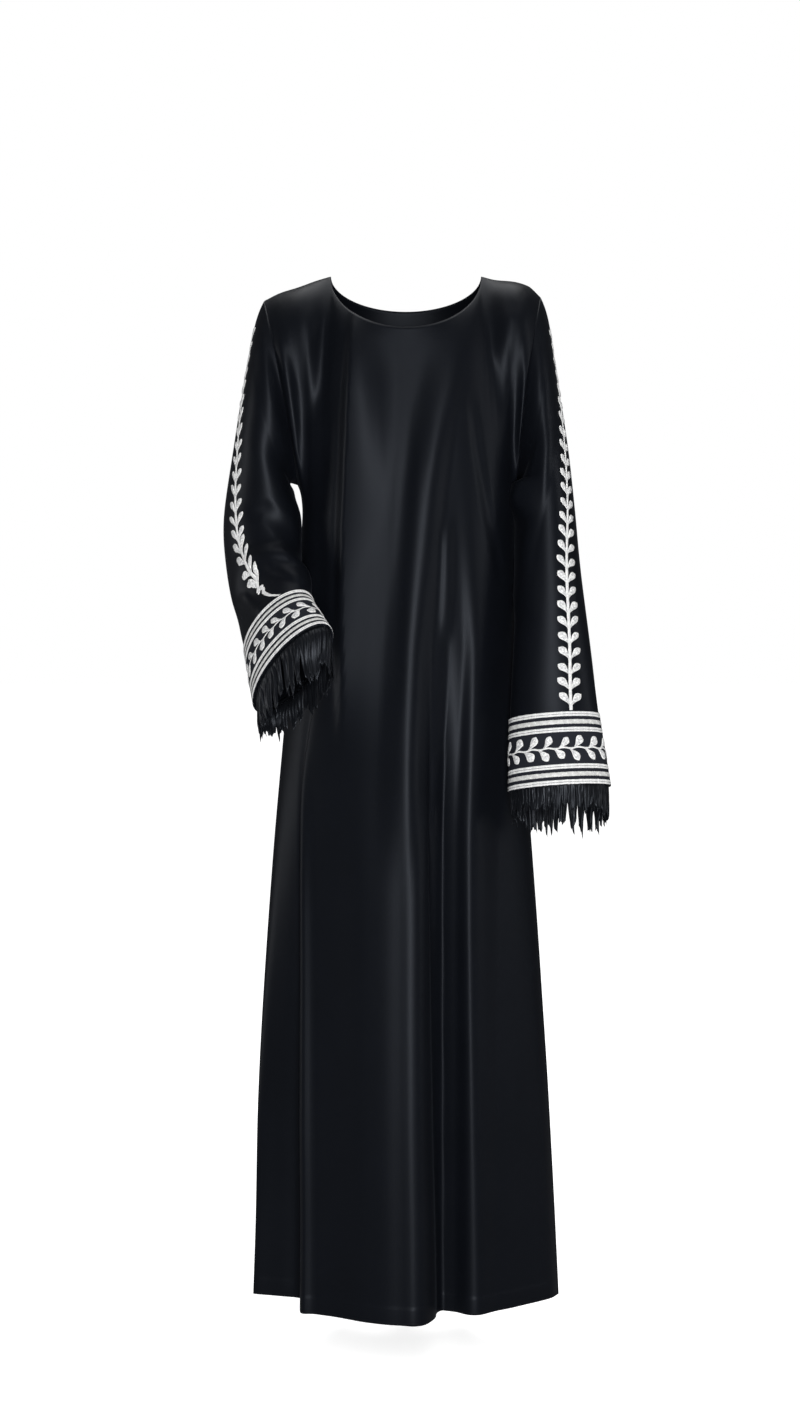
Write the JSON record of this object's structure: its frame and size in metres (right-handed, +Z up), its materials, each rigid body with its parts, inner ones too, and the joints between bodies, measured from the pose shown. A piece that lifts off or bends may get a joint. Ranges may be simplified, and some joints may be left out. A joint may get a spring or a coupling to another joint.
{
  "type": "abaya",
  "caption": "Ankle-length black closed-front abaya in its worn form, with leaf-vine embroidered long sleeves, striped cuff bands and a ragged black fringe.",
  "frame": {"origin": "centre of the wearer's neck base, level with the two high shoulder points of the garment", "axes": "+Z up along the wearer's spine, -Y to the wearer's front, +X to the wearer's left"},
  "size_m": [0.5293, 0.3877, 1.4207],
  "materials": {
    "front_panel": "smooth satin-faced crepe, near black",
    "back_panel": "smooth satin-faced crepe, near black",
    "sleeve_right": "smooth satin-faced crepe, near black",
    "sleeve_left": "smooth satin-faced crepe, near black",
    "cuff_band_right": "charcoal band cloth under silver-white embroidery",
    "cuff_band_left": "charcoal band cloth under silver-white embroidery",
    "fringe_right": "frayed black satin strips",
    "fringe_left": "frayed black satin strips"
  },
  "bodies": {
    "root": {"front_panel_hem": "front_panel", "front_panel_skirt": "front_panel", "front_panel_waist": "front_panel", "front_panel_chest": "front_panel", "back_panel_hem": "back_panel", "back_panel_skirt": "back_panel", "back_panel_waist": "back_panel", "back_panel_chest": "back_panel", "sleeve_right_head": "sleeve_right", "sleeve_right_arm": "sleeve_right", "sleeve_right_elbow": "sleeve_right", "sleeve_right_forearm": "sleeve_right", "sleeve_right_wrist": "sleeve_right", "sleeve_left_head": "sleeve_left", "sleeve_left_arm": "sleeve_left", "sleeve_left_elbow": "sleeve_left", "sleeve_left_forearm": "sleeve_left", "sleeve_left_wrist": "sleeve_left", "cuff_band_right": "cuff_band_right", "cuff_band_left": "cuff_band_left", "fringe_right": "fringe_right", "fringe_left": "fringe_left"}
  },
  "joints": []
}
